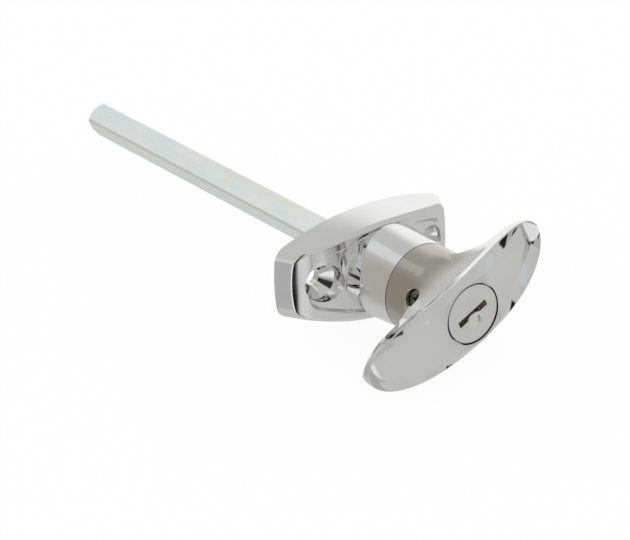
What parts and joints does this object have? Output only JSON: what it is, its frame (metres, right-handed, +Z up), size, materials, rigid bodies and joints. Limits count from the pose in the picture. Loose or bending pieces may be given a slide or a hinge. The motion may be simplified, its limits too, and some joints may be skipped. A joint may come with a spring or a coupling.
{
  "type": "locking t-handle",
  "caption": "Locking T-handle: arched two-hole plate with a collar, T-shaped grip with a key lock in its face, and a long square spindle through the door.",
  "frame": {"origin": "centre of the escutcheon plate's back face, on the spindle axis", "axes": "+X along the plate's long axis through its two fixing holes, +Y into the door along the spindle, +Z up; the grip is on the -Y side"},
  "size_m": [0.0624, 0.1834, 0.0368],
  "materials": {
    "chrome": "bright chrome plate on zinc casting, with soft polishing marks",
    "satin_nickel": "satin nickel-plated lock face, finely turned",
    "zinc_plate": "clear passivated zinc plate on steel, pale and slightly blue-green",
    "spring_steel": "plain spring steel, lightly oiled",
    "dark_steel": "blackened steel screw",
    "brass": "stamped brass wafers"
  },
  "bodies": {
    "escutcheon": {"escutcheon": "chrome", "wave_washer": "spring_steel"},
    "grip": {"t_handle": "chrome", "plug_retaining_screw": "dark_steel", "square_spindle": "zinc_plate", "spindle_pin": "spring_steel", "stop_washer": "zinc_plate", "retaining_ring": "spring_steel"},
    "plug": {"lock_plug": "satin_nickel", "plug_cam": "zinc_plate", "wafer_1": "brass", "wafer_2": "brass", "wafer_3": "brass", "wafer_4": "brass", "wafer_5": "brass", "wafer_spring_1": "spring_steel", "wafer_spring_2": "spring_steel", "wafer_spring_3": "spring_steel", "wafer_spring_4": "spring_steel", "wafer_spring_5": "spring_steel"},
    "bolt": {"locking_bolt": "zinc_plate"}
  },
  "joints": [
    {"name": "grip_turn", "type": "hinge", "parent": "escutcheon", "child": "grip", "pos_m": [0, 0, 0], "axis": [0, -1, 0], "range_deg": [-24, 66]},
    {"name": "plug_turn", "type": "hinge", "parent": "grip", "child": "plug", "pos_m": [0, -0.04, 0], "axis": [0, 1, 0], "range_deg": [0, 90]},
    {"name": "bolt_slide", "type": "slide", "parent": "grip", "child": "bolt", "axis": [0.4067, 0, -0.9135], "range_m": [0, 0.00262]}
  ],
  "couplings": [
    {"joint": "bolt_slide", "follows": "plug_turn", "m_per_rad": 0.0016656}
  ]
}
